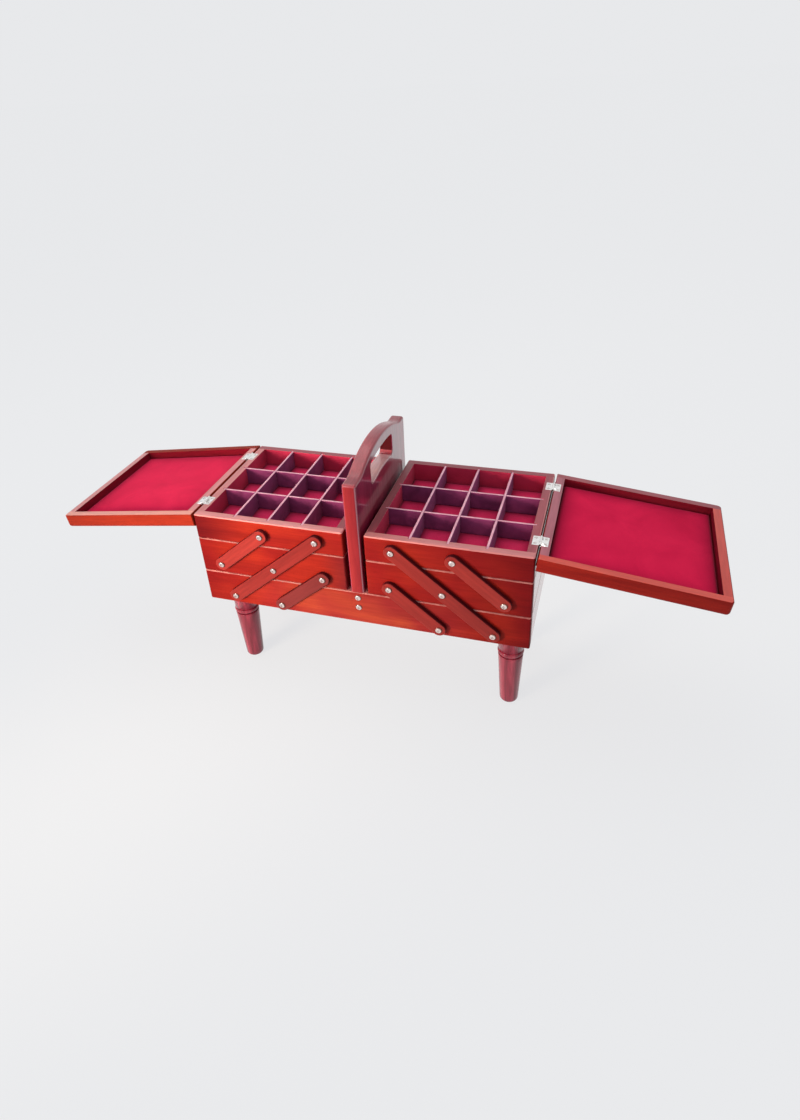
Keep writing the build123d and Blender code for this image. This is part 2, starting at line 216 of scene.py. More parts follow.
armSlope = (180 - turns["right_fold"]) / 2
grains = {                            # turns of the grain from +X, in degrees
    "Along": (0, 0, 0),
    "Across": (0, 0, 90),
    "Upright": (0, -90, 0),
    "RightArm": (0, armSlope, 0),
    "LeftArm": (0, -armSlope, 0),
    "RightLid": (0, droop["right"], 0),
    "LeftLid": (0, -droop["left"], 0),
}
oiled = {"specular": 0.03, "coat": 0.07, "coatIndex": 1.45}
waxed = {"specular": 0.1, "coat": 0.8, "coatIndex": 1.50, "coatRoughness": 0.30}
barPolish = {"specular": 0.10, "coat": 0.25, "coatIndex": 1.50}
stains = {                            # dark, middle and light tones
    "cherry": {                       # the broad faces of the boards
        "tones": ((0.155, 0.0070, 0.0060), (0.215, 0.0105, 0.0075), (0.275, 0.0170, 0.0090)),
        "grains": ("Along", "Across", "RightLid"), **oiled,
    },
    "ember": {                        # faces of the left lid, a lighter, more orange copy of cherry: painted lamp light
        "tones": ((0.195, 0.0150, 0.0065), (0.240, 0.0200, 0.0090), (0.285, 0.0270, 0.0120)),
        "grains": ("LeftLid", "Across"), **oiled,
    },
    "wine": {                         # inner faces of the lid rails, a darker purple copy: painted shade in the lid recess
        "tones": ((0.130, 0.0045, 0.0120), (0.180, 0.0065, 0.0170), (0.235, 0.0110, 0.0240)),
        "grains": ("LeftLid", "RightLid", "Across"),
        "specular": 0.03, "coat": 0.15, "coatIndex": 1.45,
    },
    "rim": {                          # the top edges of the boards, mauve pink: partly their own tone, partly a painted reflection of the pale room
        "tones": ((0.180, 0.018, 0.028), (0.250, 0.030, 0.045), (0.320, 0.050, 0.065)),
        "grains": ("Along", "Across", "RightLid"), **waxed,
    },
    "rubbed": {                       # top edges, a paler copy of rim: painted highlight
        "tones": ((0.430, 0.125, 0.125), (0.530, 0.175, 0.175), (0.620, 0.235, 0.230)),
        "grains": ("Along", "Across"), **waxed,
    },
    "peach": {                        # the front rail of the left lid, pale peach: painted lamp light
        "tones": ((0.540, 0.190, 0.150), (0.630, 0.250, 0.200), (0.710, 0.320, 0.260)),
        "grains": ("LeftLid",), **waxed,
    },
    "mauve": {                        # the rail of the right lid beside its hinges, greyish pink: partly its own tone, partly a painted reflection
        "tones": ((0.260, 0.055, 0.080), (0.340, 0.080, 0.110), (0.420, 0.115, 0.150)),
        "grains": ("Across",), **waxed,
    },
    "warm": {                         # rail tops of the right lid, a bright orange copy: painted lamp light
        "tones": ((0.500, 0.045, 0.030), (0.600, 0.065, 0.042), (0.700, 0.095, 0.058)),
        "grains": ("RightLid", "Across"),
        "specular": 0.1, "coat": 0.7, "coatIndex": 1.45, "coatRoughness": 0.30,
    },
    "end": {                          # the outer faces of the end boards, which catch the glare
        "tones": ((0.210, 0.006, 0.008), (0.280, 0.010, 0.011), (0.350, 0.018, 0.013)),
        "grains": ("Across",),
        "specular": 0.2, "coat": 1.0, "coatIndex": 1.50,
    },
    "burgundy": {                     # the legs, with a finer figure
        "tones": ((0.105, 0.006, 0.015), (0.210, 0.015, 0.034), (0.340, 0.038, 0.066)),
        "grains": ("Upright",), "bandScale": 130.0,
        "specular": 0.1, "coat": 0.9, "coatIndex": 1.46,
    },
    "stile": {                        # the narrow front and back faces of the handle board
        "tones": ((0.140, 0.007, 0.012), (0.200, 0.012, 0.016), (0.270, 0.022, 0.023)),
        "grains": ("Upright",),
        "specular": 0.05, "coat": 0.3, "coatIndex": 1.45,
    },
    "gloss": {                        # the broad faces of the handle board
        "tones": ((0.150, 0.006, 0.026), (0.220, 0.009, 0.038), (0.300, 0.017, 0.052)),
        "grains": ("Upright",),
        "specular": 0.5, "coat": 1.0, "coatIndex": 2.0,
    },
    "seat": {                         # the bottom of the hand slot, pale pink: painted reflection
        "tones": ((0.460, 0.230, 0.235), (0.560, 0.310, 0.310), (0.650, 0.390, 0.385)),
        "grains": ("Across",),
        "specular": 0.1, "coat": 0.85, "coatIndex": 1.50, "coatRoughness": 0.25,
    },
    "crown": {                        # the top edge of the handle board, paler pink: painted highlight
        "tones": ((0.190, 0.024, 0.034), (0.260, 0.036, 0.050), (0.330, 0.056, 0.070)),
        "grains": ("Across",),
        "specular": 0.1, "coat": 0.85, "coatIndex": 1.50, "coatRoughness": 0.20,
    },
    "bar": {                          # the faces of the link arms
        "tones": ((0.140, 0.0090, 0.0072), (0.188, 0.0135, 0.0105), (0.245, 0.0200, 0.0155)),
        "grains": ("RightArm", "LeftArm"), **barPolish,
    },
    "oldBar": {                       # a darker copy of bar: painted shade on one arm
        "tones": ((0.100, 0.0100, 0.0100), (0.135, 0.0150, 0.0145), (0.180, 0.0220, 0.0200)),
        "grains": ("LeftArm",), **barPolish,
    },
    "shade": {                        # painted shade on the thin side faces of the arms, and on the ends of the hand slot
        "tones": ((0.040, 0.0030, 0.0050), (0.060, 0.0040, 0.0070), (0.085, 0.0060, 0.0090)),
        "grains": ("RightArm", "LeftArm", "Upright"),
        "specular": 0.1, "coat": 0.2, "coatIndex": 1.45,
    },
}
lacquer = {
    "stretch": 14.0,                  # how much longer the figure is than it is wide
    "bandScale": 34.0,                # broad bands, about 30 mm
    "bandStops": (0.30, 0.52, 0.74),
    "streakScale": 420.0,             # fine streaks, about 2 mm
    "streaks": ((0.88, 0.86, 0.86), (1.05, 1.06, 1.05)),
    "streakStops": (0.35, 0.62),
    "streakBump": 0.10,
    "streakHeight": 0.0002,
    "poreScale": 1500.0,
    "pore": (0.70, 0.58, 0.56),
    "poreStops": (0.62, 0.72),
    "poreAmount": 0.6,
    "worn": 0.46,                     # roughness in the streaks and between them
    "smooth": 0.34,
    "coatRoughness": 0.09,
    "peelScale": 260.0,               # faint waves in the lacquer
    "peelBump": 0.03,
    "peelHeight": 0.001,
}
cloudsAndPaintedLight = {            # random stain clouds, painted shade and a painted pool of light, in metres from the handle board and above the floor
    "cloudScale": 11.0,
    "clouds": ((0.84, 0.62, 0.95), (1.10, 1.28, 0.98)),
    "cloudStops": (0.36, 0.62),
    # painted shade at both ends of the boxes, where the light falls off
    "ends": {"from": 0.125, "to": 0.200, "tone": (0.66, 0.46, 0.62)},
    # painted shade on the left end of the top tray
    "topCorner": {"from": 0.13, "to": 0.19, "tone": (0.60, 0.55, 1.00),
                  "heights": (0.2080, 0.2514), "fade": 0.001},
    # painted shade with a purple cast on the left middle tray beside the handle board
    "byBoard": {"from": 0.010, "to": 0.045, "tone": (0.62, 0.95, 1.60),
                "heights": (0.1615, 0.2085), "fade": 0.001},
    # painted pool of light, paler on the middle of the base
    "baseMiddle": {"from": 0.06, "to": 0.15, "tone": (1.10, 2.3, 2.3),
                   "heights": (0.0, 0.162), "fade": 0.004},
}


def addMath(tree, operation, value, other=0.0):
    node = tree.nodes.new("ShaderNodeMath")
    node.operation = operation
    node.inputs[1].default_value = other
    tree.links.new(value, node.inputs[0])
    return node.outputs["Value"]


def heightBand(tree, height, zone):   # white between the two heights of the zone and black outside them
    (low, high), fade = zone["heights"], zone["fade"]
    return addRamp(tree, height, (low, black), (low + fade, white), (high - fade, white), (high, black))


def addCloudsAndPaintedLight(tree, colour):        # random stain clouds, then painted shade at both ends, at the top left corner and beside the board, and a painted pool of light on the middle of the base
    coords = objectCoords(tree)
    clouds = addNoise(tree, coords, cloudsAndPaintedLight["cloudScale"], detail=2.0, distortion=0.3)
    colour = multiply(tree, colour, addRamp(tree, clouds, *zip(cloudsAndPaintedLight["cloudStops"], cloudsAndPaintedLight["clouds"])))
    parts = tree.nodes.new("ShaderNodeSeparateXYZ")
    tree.links.new(coords, parts.inputs["Vector"])
    away = addMath(tree, "ABSOLUTE", parts.outputs["X"])
    leftwards = addMath(tree, "MULTIPLY", parts.outputs["X"], -1.0)
    ends, corner, near, middle = (cloudsAndPaintedLight[key] for key in ("ends", "topCorner", "byBoard", "baseMiddle"))
    tone = addRamp(tree, away, (ends["from"], white), (ends["to"], ends["tone"]))
    colour = multiply(tree, colour, tone)
    tone = addRamp(tree, leftwards, (corner["from"], white), (corner["to"], corner["tone"]))
    colour = multiply(tree, colour, tone, heightBand(tree, parts.outputs["Z"], corner))
    tone = addRamp(tree, leftwards, (0.0, white), (near["from"], near["tone"]), (near["to"], white))
    colour = multiply(tree, colour, tone, heightBand(tree, parts.outputs["Z"], near))
    tone = addRamp(tree, away, (middle["from"], middle["tone"]), (middle["to"], white))
    return multiply(tree, colour, tone, heightBand(tree, parts.outputs["Z"], middle))


def lacqueredWood(stainName, grain):
    stain = stains[stainName]
    material, tree, shader = startMaterial(stainName + grain)
    vector = turnedCoords(tree, grains[grain], lacquer["stretch"])
    bandScale = stain.get("bandScale", lacquer["bandScale"])
    bands = addNoise(tree, vector, bandScale, detail=4.0, roughness=0.55, distortion=0.6)
    colour = addRamp(tree, bands, *zip(lacquer["bandStops"], stain["tones"]))
    streaks = addNoise(tree, vector, lacquer["streakScale"], roughness=0.6)
    streakTone = addRamp(tree, streaks, *zip(lacquer["streakStops"], lacquer["streaks"]))
    colour = multiply(tree, colour, streakTone)
    pores = addNoise(tree, vector, lacquer["poreScale"], detail=2.0)
    poreTone = addRamp(tree, pores, *zip(lacquer["poreStops"], (white, lacquer["pore"])))
    colour = multiply(tree, colour, poreTone, lacquer["poreAmount"])
    # the box faces get the stain clouds and the painted light and shade
    if stainName == "cherry" and grain == "Along":
        colour = addCloudsAndPaintedLight(tree, colour)
    tree.links.new(colour, shader.inputs["Base Color"])
    roughness = addRamp(tree, streaks, (0.3, grey(lacquer["worn"])), (0.7, grey(lacquer["smooth"])))
    tree.links.new(roughness, shader.inputs["Roughness"])
    shader.inputs["Specular IOR Level"].default_value = stain["specular"]
    shader.inputs["Coat Weight"].default_value = stain["coat"]
    shader.inputs["Coat Roughness"].default_value = stain.get("coatRoughness", lacquer["coatRoughness"])
    shader.inputs["Coat IOR"].default_value = stain["coatIndex"]
    addBump(tree, streaks, lacquer["streakBump"], lacquer["streakHeight"], shader.inputs["Normal"])
    peel = addNoise(tree, objectCoords(tree), lacquer["peelScale"], detail=1.0)
    addBump(tree, peel, lacquer["peelBump"], lacquer["peelHeight"], shader.inputs["Coat Normal"])
    return material


plush = {
    "napScale": 16.0,                 # brushed patches, about 60 mm
    "fibreScale": 1900.0,
    "sheen": 0.12,
    "sheenTint": (1.0, 0.45, 0.60),
}
cloths = {                            # dark, middle and light tones, and the tone of the painted shade beside the edges
    "velvetNap": {                    # pads in the lids
        "tones": ((0.52, 0.007, 0.047), (0.61, 0.010, 0.058), (0.69, 0.014, 0.068)),
        "pressed": (0.23, 0.004, 0.028), **plush,
    },
    "cellNap": {                      # linings laid on the floors, a paler copy of the lid velvet: painted light in the cells
        "tones": ((0.56, 0.020, 0.080), (0.66, 0.028, 0.105), (0.74, 0.038, 0.130)),
        "pressed": (0.24, 0.012, 0.050), **plush,
    },
    "flockedSide": {                  # sides of the dividers, dark purple: partly the flock's own tone, partly painted shade
        "tones": ((0.140, 0.026, 0.085), (0.200, 0.036, 0.120), (0.270, 0.050, 0.155)),
        "napScale": 40.0, "fibreScale": 2200.0, "sheen": 0.25, "sheenTint": (0.80, 0.35, 0.60),
    },
    "velvetWall": {                   # inner faces of the top trays, a darker copy of the velvet: painted shade
        "tones": ((0.37, 0.020, 0.056), (0.46, 0.027, 0.075), (0.55, 0.036, 0.094)), **plush,
    },
}
pile = {
    "napStops": (0.30, 0.50, 0.72),
    "fibres": ((0.72, 0.72, 0.74), (1.12, 1.12, 1.10)),
    "fibreStops": (0.35, 0.65),
    "fibreAmount": 0.8,
    "fibreBump": 0.35,
    "fibreHeight": 0.0004,
    "roughness": 0.95,
    "sheenRoughness": 0.45,
}


def napCloth(name):
    cloth = cloths[name]
    material, tree, shader = startMaterial(name)
    coords = objectCoords(tree)
    nap = addNoise(tree, coords, cloth["napScale"], detail=4.0, roughness=0.55, distortion=0.8)
    colour = addRamp(tree, nap, *zip(pile["napStops"], cloth["tones"]))
    fibres = addNoise(tree, coords, cloth["fibreScale"], detail=2.0, roughness=0.6)
    fibreTone = addRamp(tree, fibres, *zip(pile["fibreStops"], pile["fibres"]))
    colour = multiply(tree, colour, fibreTone, pile["fibreAmount"])
    if "pressed" in cloth:            # painted shade darkens the cloth beside the rails and the dividers
        edge = tree.nodes.new("ShaderNodeAttribute")
        edge.attribute_name = "pressedPile"
        colour = mixColours(tree, "MIX", edge.outputs["Fac"], colour, cloth["pressed"])
    tree.links.new(colour, shader.inputs["Base Color"])
    shader.inputs["Roughness"].default_value = pile["roughness"]
    shader.inputs["Specular IOR Level"].default_value = 0.0
    shader.inputs["Sheen Weight"].default_value = cloth["sheen"]
    shader.inputs["Sheen Roughness"].default_value = pile["sheenRoughness"]
    shader.inputs["Sheen Tint"].default_value = (*cloth["sheenTint"], 1)
    addBump(tree, fibres, pile["fibreBump"], pile["fibreHeight"], shader.inputs["Normal"])
    return material


metals = {                            # bright and dull tones
    "brightNickel": ((0.97, 0.95, 0.93), (0.82, 0.79, 0.75)),
    # pinkish cream: the nickel's tone with a painted reflection of the red wood
    "creamNickel": ((0.94, 0.80, 0.75), (0.78, 0.60, 0.55)),
    "darkRing": ((0.34, 0.16, 0.13), (0.20, 0.08, 0.07)),      # dark skirt of a head and floor of its slots: painted shade and dark reflection
}
plating = {
    "wearStops": (0.40, 0.72),
    "smooth": 0.16,
    "worn": 0.34,
    "scale": 180.0,
    "fineScale": 2160.0,
    "bump": 0.05,
    "height": 0.0001,
}


def platedMetal(name):
    material, tree, shader = startMaterial(name)
    coords = objectCoords(tree)
    wear = addNoise(tree, coords, plating["scale"], detail=4.0, roughness=0.6)
    colour = addRamp(tree, wear, *zip(plating["wearStops"], metals[name]))
    tree.links.new(colour, shader.inputs["Base Color"])
    roughness = addRamp(tree, wear, (0.35, grey(plating["smooth"])), (0.75, grey(plating["worn"])))
    tree.links.new(roughness, shader.inputs["Roughness"])
    shader.inputs["Metallic"].default_value = 1.0
    fine = addNoise(tree, coords, plating["fineScale"], detail=2.0)
    addBump(tree, fine, plating["bump"], plating["height"], shader.inputs["Normal"])
    return material


edges = {                             # deep and light tones
    "paleEdge": ((0.56, 0.23, 0.31), (0.70, 0.34, 0.43)),      # bare tops of the dividers, paled further by a painted reflection
    "wornEdge": ((0.24, 0.05, 0.045), (0.38, 0.12, 0.105)),    # painted highlight on the rounded top edges of the boards
}
paleEdging = {
    "stops": (0.35, 0.62),
    "scale": 90.0,
    "roughness": 0.5,
    "coat": 0.6,
    "coatRoughness": 0.18,
    "bump": 0.1,
    "height": 0.0003,
}


def paleEdgeMaterial(name):
    material, tree, shader = startMaterial(name)
    tone = addNoise(tree, objectCoords(tree), paleEdging["scale"], detail=4.0, roughness=0.6)
    colour = addRamp(tree, tone, *zip(paleEdging["stops"], edges[name]))
    tree.links.new(colour, shader.inputs["Base Color"])
    shader.inputs["Roughness"].default_value = paleEdging["roughness"]
    shader.inputs["Coat Weight"].default_value = paleEdging["coat"]
    shader.inputs["Coat Roughness"].default_value = paleEdging["coatRoughness"]
    addBump(tree, tone, paleEdging["bump"], paleEdging["height"], shader.inputs["Normal"])
    return material


finishes = {}
for stainName, stain in stains.items():
    for grain in stain["grains"]:
        finishes[stainName + grain] = lacqueredWood(stainName, grain)
for names, build in ((cloths, napCloth), (metals, platedMetal), (edges, paleEdgeMaterial)):
    for name in names:
        finishes[name] = build(name)
print("finishes ready:", len(finishes))


def selectOnly(piece):
    bpy.ops.object.select_all(action="DESELECT")
    piece.select_set(True)
    bpy.context.view_layer.objects.active = piece


def applyModifier(piece, kind, **settings):
    modifier = piece.modifiers.new(kind.title(), kind)
    for setting, value in settings.items():
        setattr(modifier, setting, value)
    selectOnly(piece)
    bpy.ops.object.modifier_apply(modifier=modifier.name)


sanding = {
    "weld": 0.000002,                 # metres
    "flatness": 0.3,                  # degrees
    "easeAngle": 50.0,
    "smoothAngle": 32.0,
    "broadArea": 2.5e-4,              # square metres
}


def weld(piece, flatten=False):
    selectOnly(piece)
    bpy.ops.object.mode_set(mode="EDIT")
    bpy.ops.mesh.select_all(action="SELECT")
    bpy.ops.mesh.remove_doubles(threshold=sanding["weld"])
    bpy.ops.mesh.dissolve_degenerate(threshold=sanding["weld"])
    if flatten:
        bpy.ops.mesh.dissolve_limited(angle_limit=math.radians(sanding["flatness"]))
    bpy.ops.object.mode_set(mode="OBJECT")


def smoothByAngle(piece):
    selectOnly(piece)
    bpy.ops.object.shade_smooth_by_angle(angle=math.radians(sanding["smoothAngle"]))


def flattenBroadFaces(piece):         # the broad planes stay flat right up to their rounded edges
    planes, keys = {}, []
    for face in piece.data.polygons:
        key = (*(round(part, 2) for part in face.normal), round(face.normal.dot(face.center), 4))
        planes[key] = planes.get(key, 0) + face.area
        keys.append(key)
    for face, key in zip(piece.data.polygons, keys):
        face.use_smooth = planes[key] < sanding["broadArea"]


def sandedCopy(node, name, ease):     # boards with their edges eased; round pieces keep their own facets
    piece = bpy.data.objects.new(name, cadNodes[node].data.copy())
    bpy.context.scene.collection.objects.link(piece)
    piece.data.materials.clear()
    isBoard = ease is not None
    weld(piece, flatten=isBoard)
    if ease:
        applyModifier(piece, "BEVEL", width=ease, segments=2, limit_method="ANGLE",
                      angle_limit=math.radians(sanding["easeAngle"]), use_clamp_overlap=True)
    if isBoard:
        applyModifier(piece, "TRIANGULATE", min_vertices=5)
        weld(piece)
    smoothByAngle(piece)
    if isBoard:
        flattenBroadFaces(piece)
    return piece


def camelName(node):
    first, *others = node.split("_")
    return first + "".join(word.title() for word in others)


def dress(node, *finishNames, choose=None, ease=None):
    piece = sandedCopy(node, camelName(node), ease)
    for finishName in finishNames:
        piece.data.materials.append(finishes[finishName])
    for face in piece.data.polygons:
        face.material_index = choose(face.center, face.normal) if choose else 0
    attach(piece, bodyOf[node])
    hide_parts(node)


def paintNode(node, finishName):
    piece = cadNodes[node]
    piece.data.materials.clear()
    piece.data.materials.append(finishes[finishName])


boxes = {
    "wall": 0.0098,
    "edgeRound": 0.0015,              # rounding of the outer edges
    "edgeMargin": 0.0002,
    "topMargin": 0.0003,
    "ease": 0.0004,                   # edges eased by the sanding
}


def boxZones(side, node, lined):
    low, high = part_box(f"{node}_side_walls")
    middle = (low + high) / 2
    wall = boxes["wall"]
    rounded = high.z - boxes["edgeRound"] - boxes["edgeMargin"]

    def choose(centre, normal):       # 0 face, 1 rim, 2 rim with painted highlight, 3 rounded edge with painted highlight, 4 lined inner face
        if normal.z > 0.97 and centre.z > high.z - boxes["topMargin"]:
            byLeftHinges = side == "left" and centre.x < low.x + wall
            return 2 if byLeftHinges or centre.y < low.y + wall else 1
        if normal.z > 0.2 and centre.z > rounded:
            return 2 if lined else 3
        across = abs(normal.x) > 0.9 and low.x + wall / 2 < centre.x < high.x - wall / 2
        along = abs(normal.y) > 0.9 and low.y + wall / 2 < centre.y < high.y - wall / 2
        inwards = normal.x * (centre.x - middle.x) + normal.y * (centre.y - middle.y) < 0
        return 4 if lined and (across or along) and inwards else 0
    return choose


def dressBox(side, node, lined=False):
    choose = boxZones(side, node, lined)
    inner = ("velvetWall",) if lined else ()
    dress(f"{node}_side_walls", "cherryAlong", "rimAlong", "rubbedAlong", "wornEdge", *inner,
          choose=choose, ease=boxes["ease"])
    dress(f"{node}_end_walls", "endAcross", "rimAcross", "rubbedAcross", "wornEdge", *inner,
          choose=choose, ease=boxes["ease"])
    paintNode(f"{node}_floor", "cherryAlong")


handleBoard = {                       # where the zones of the board meet
    "seatHalf": 0.034,
    "seatBelowTop": 0.02,
    "narrowFace": 0.012,
}


def dressLegsAndBoard():
    for corner in ("front_left", "front_right", "back_left", "back_right"):
        dress(f"{corner}_leg", "burgundyUpright")
    low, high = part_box("handle_board")

    def choose(centre, normal):       # 0 narrow face, 1 broad face, 2 slot end in painted shade, 3 slot seat with painted reflection, 4 crown with painted highlight
        inSlot = abs(centre.y) < handleBoard["seatHalf"] and centre.z < high.z - handleBoard["seatBelowTop"]
        if normal.z > 0.5 and inSlot:
            return 3
        if normal.z > 0.3 and abs(normal.x) < 0.9:
            return 4
        if abs(normal.y) < 0.9:
            return 1
        return 0 if min(centre.y - low.y, high.y - centre.y) < handleBoard["narrowFace"] else 2
    dress("handle_board", "stileUpright", "glossUpright", "shadeUpright", "seatAcross", "crownAcross",
          choose=choose, ease=0)


def dressArms():
    def choose(centre, normal):
        # the side faces of the arms get painted shade
        return 0 if abs(normal.y) > 0.5 else 1
    for side in sides:
        grain = f"{side.title()}Arm"
        for face in ("front", "back"):
            for kind in ("long_arm", "upper_arm", "lower_arm"):
                # the left front lower arm gets painted shade
                stain = "oldBar" if (side, face, kind) == ("left", "front", "lower_arm") else "bar"
                dress(f"{side}_{face}_{kind}", stain + grain, "shade" + grain, choose=choose, ease=0)


dividers = {"ease": 0.0005}


def dressDividers():
    def choose(centre, normal):
        return 0 if normal.z > 0.6 else 1
    for side in sides:
        for kind in ("long", "cross"):
            dress(f"{side}_top_tray_{kind}_dividers", "paleEdge", "flockedSide", choose=choose,
                  ease=dividers["ease"])


lidStains = {        # outer faces; tops of the front, free, hinge side and back rails; inner faces
    "right": ("cherryRightLid", "cherryAcross", "warmRightLid", "warmAcross", "mauveAcross", "rimRightLid",
              "wineRightLid", "wineAcross"),
    "left": ("emberLeftLid", "emberAcross", "peachLeftLid", "rubbedAcross", "rubbedAcross", "emberLeftLid",
             "wineLeftLid", "wineAcross"),
}
lidRails = {
    "sideWidth": 0.008,
    "frontWidth": 0.0101,
    "margin": 0.0005,
    "ease": 0.0003,
}


def lidZones(side):
    low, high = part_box(f"{side}_lid_rails")
    middle = (low + high) / 2
    halfLength = (high.x - low.x) / 2 - lidRails["sideWidth"]
    halfWidth = (high.y - low.y) / 2 - lidRails["frontWidth"]

    def choose(centre, normal):       # outer faces 0 and 1, tops 2 to 5, inner faces 6 and 7
        away = centre - middle
        crosswise = abs(away.y) < halfWidth
        if normal.z > 0.9:
            if crosswise:
                return 3 if away.x * sides[side] > 0 else 4
            return 5 if away.y > 0 else 2
        inwards = normal.x * away.x + normal.y * away.y < 0 and abs(normal.z) < 0.5
        if inwards and abs(away.x) < halfLength and abs(away.y) < halfWidth + lidRails["margin"]:
            return 7 if abs(normal.x) > 0.5 else 6
        return 1 if crosswise else 0
    return choose


def dressLids():
    for side in sides:
        dress(f"{side}_lid_rails", *lidStains[side], choose=lidZones(side), ease=lidRails["ease"])
        dress(f"{side}_lid_panel", lidStains[side][0], ease=0)


def dressMetal():
    def choose(centre, normal):
        # the skirts of the heads get painted shade
        return 0 if abs(normal.y) > 0.75 else 1
    for node in cadNodes:
        if node.endswith("screws"):
            dress(node, "creamNickel", "darkRing", choose=choose)
        elif "_hinge_" in node:
            dress(node, "brightNickel")


dressBox("", "base")
for side in sides:
    dressBox(side, f"{side}_middle_tray")
    dressBox(side, f"{side}_top_tray", lined=True)
dressLegsAndBoard()
dressArms()
dressDividers()
dressLids()
dressMetal()
print("boards, arms, legs and metal dressed")


lining = {
    "step": 0.002,                    # metres between the rows of the mesh
    "padStep": 0.0015,
    "thickness": 0.0008,
    "crown": 0.0007,                  # rise of the cloth between its edges
    "bedded": 0.3,                    # share of the rise that is let into the floor
    "tuck": 0.0009,                   # fall of the cloth at its edges
    "tuckWidth": 0.0035,
    # painted shade along the edges of each cloth and each cell
    "press": 0.85,
    "pressWidth": 0.014,
    "padPressWidth": 0.030,
    "padEdge": 0.0045,                # how steeply a padded cloth rises from its edges
    "ripple": 0.00036,
    "rippleScale": 22.0,
    "topTrayCells": (4, 3),
}
lidCloth = {"thickness": 0.0012, "pad": 0.0032}


def edgeFall(gap, width):
    return (1 - min(max(gap / width, 0.0), 1.0)) ** 2


def clothHeight(x, y, inCell, cell, gap, pad):
    rise = (1 - (2 * inCell[0] / cell[0] - 1) ** 4) * (1 - (2 * inCell[1] / cell[1] - 1) ** 4)
    ripple = noise.noise(Vector((x, y, 0)) * lining["rippleScale"]) * lining["ripple"]
    fall = edgeFall(gap, lining["tuckWidth"]) * lining["tuck"]
    swell = pad * (1 - edgeFall(gap, lining["padEdge"]))
    return (lining["crown"] + ripple) * max(rise, 0) - fall + swell


def layVelvet(name, node, size, place, turn=0.0, cells=(1, 1), pad=0.0):
    length, width = size
    step = lining["padStep"] if pad else lining["step"]
    bpy.ops.object.select_all(action="DESELECT")
    bpy.ops.mesh.primitive_grid_add(x_subdivisions=round(length / step), y_subdivisions=round(width / step),
                                    size=1)
    piece = bpy.context.object
    piece.name = name
    cell = (length / cells[0], width / cells[1])
    pressed = []
    for vertex in piece.data.vertices:
        x, y = vertex.co.x * length, vertex.co.y * width
        inCell = ((x + length / 2) % cell[0] if cells[0] > 1 else x + length / 2,
                  (y + width / 2) % cell[1] if cells[1] > 1 else y + width / 2)
        gap = max(min(inCell[0], cell[0] - inCell[0], inCell[1], cell[1] - inCell[1]), 0.0)
        vertex.co = (x, y, clothHeight(x, y, inCell, cell, gap, pad))
        # painted shade, strongest at the edges
        pressWidth = lining["padPressWidth" if pad else "pressWidth"]
        pressed.append(lining["press"] * edgeFall(gap, pressWidth))
    mark = piece.data.attributes.new("pressedPile", "FLOAT", "POINT")
    mark.data.foreach_set("value", pressed)
    piece.data.transform(Matrix.Translation(place) @ Matrix.Rotation(math.radians(turn), 4, "Y"))
    applyModifier(piece, "SOLIDIFY", thickness=lining["thickness"], offset=-1.0)
    selectOnly(piece)
    bpy.ops.object.shade_smooth()
    piece.data.materials.append(finishes["velvetNap" if pad else "cellNap"])
    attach(piece, bodyOf[node])
    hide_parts(node)


def layTrayVelvet(tray, cells=(1, 1)):
    node = f"{tray}_lining"
    low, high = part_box(node)
    place = (low + high) / 2
    place.z = high.z - lining["crown"] * lining["bedded"]
    layVelvet(camelName(node), node, (high.x - low.x, high.y - low.y), place, cells=cells)


def layLidVelvet(side, direction):
    low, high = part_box(f"{side}_lid_lining")
    angle = math.radians(droop[side])
    length = (high.x - low.x - lidCloth["thickness"] * math.sin(angle)) / math.cos(angle)
    normal = Vector((direction * math.sin(angle), 0, math.cos(angle)))
    lift = lidCloth["thickness"] / 2 - lining["crown"] * lining["bedded"]
    layVelvet(f"{side}LidVelvet", f"{side}_lid_lining", (length, high.y - low.y),
              (low + high) / 2 + normal * lift, turn=direction * droop[side], pad=lidCloth["pad"])


def layBaseVelvet():                  # a piece on either side of the handle board
    low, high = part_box("base_lining")
    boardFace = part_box("handle_board")[1].x
    length = high.x - boardFace
    for side, direction in sides.items():
        place = Vector((direction * (boardFace + length / 2), 0, high.z - lining["crown"] * lining["bedded"]))
        layVelvet(f"{side}BaseVelvet", "base_lining", (length, high.y - low.y), place)


for side, direction in sides.items():
    layTrayVelvet(f"{side}_top_tray", cells=lining["topTrayCells"])
    layTrayVelvet(f"{side}_middle_tray")
    layLidVelvet(side, direction)
layBaseVelvet()
print("velvet laid")


def hingeLine(side):
    low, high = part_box(f"{side}_hinge_pins")
    return Vector(((low.x + high.x) / 2, 0, (low.z + high.z) / 2))


def lidTilt(side):
    return Matrix.Rotation(math.radians(sides[side] * droop[side]), 4, "Y")


restBead = {                          # the open lid leans on the tray along this bead
    "height": 0.0034,
    "depth": 0.0113,                  # below the hinge pins
    "thickness": {"right": 0.0011, "left": 0.0008},
    "bedded": 0.0006,                 # let into the rail
    "pinToRail": 0.0014,
    "endGap": 0.006,
    "round": 0.0004,
    "roundAngle": 60.0,
}


